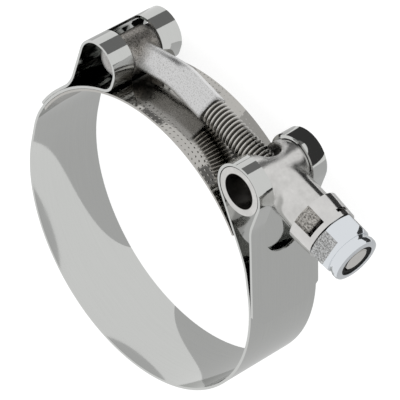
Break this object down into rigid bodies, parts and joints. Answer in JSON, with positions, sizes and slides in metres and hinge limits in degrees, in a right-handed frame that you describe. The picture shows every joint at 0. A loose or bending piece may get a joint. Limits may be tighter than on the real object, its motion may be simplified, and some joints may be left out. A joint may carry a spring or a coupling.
{
  "type": "t-bolt clamp",
  "caption": "Flat steel band hose clamp tightened by a T-headed bolt that runs through a swivelling trunnion to a lock nut.",
  "frame": {"origin": "centre of the clamped opening, at half the band's width", "axes": "+Z along the axis of the opening, +X along the bolt from its T-head to the nut, +Y from the opening to the bolt"},
  "size_m": [0.0831, 0.0821, 0.019],
  "materials": {
    "band_steel": "bright rolled stainless strip",
    "bridge_steel": "rolled stainless strip",
    "bolt_steel": "forged and plated",
    "trunnion_steel": "polished",
    "collar_steel": "polished",
    "nut_steel": "bright zinc",
    "nylon": "plain"
  },
  "bodies": {
    "clamp_band": {"band": "band_steel", "bridge": "bridge_steel"},
    "swivel": {"trunnion": "trunnion_steel", "end_collar": "collar_steel"},
    "bolt": {"t_bolt": "bolt_steel"},
    "nut": {"lock_nut": "nut_steel", "nylon_ring": "nylon"}
  },
  "joints": [
    {"name": "trunnion_pivot", "type": "hinge", "parent": "clamp_band", "child": "swivel", "pos_m": [0.02, 0.04, 0], "axis": [0, 0, 1], "range_deg": [0, 0.5]},
    {"name": "nut_turn", "type": "hinge", "parent": "swivel", "child": "nut", "pos_m": [0.0426, 0.04, 0], "axis": [1, 0, 0], "range_deg": [0, 540]},
    {"name": "bolt_slide", "type": "slide", "parent": "swivel", "child": "bolt", "axis": [-1, 0, 0], "range_m": [0, 0.0015]}
  ],
  "couplings": [
    {"joint": "nut_turn", "follows": "bolt_slide", "rad_per_m": 6283.2}
  ]
}
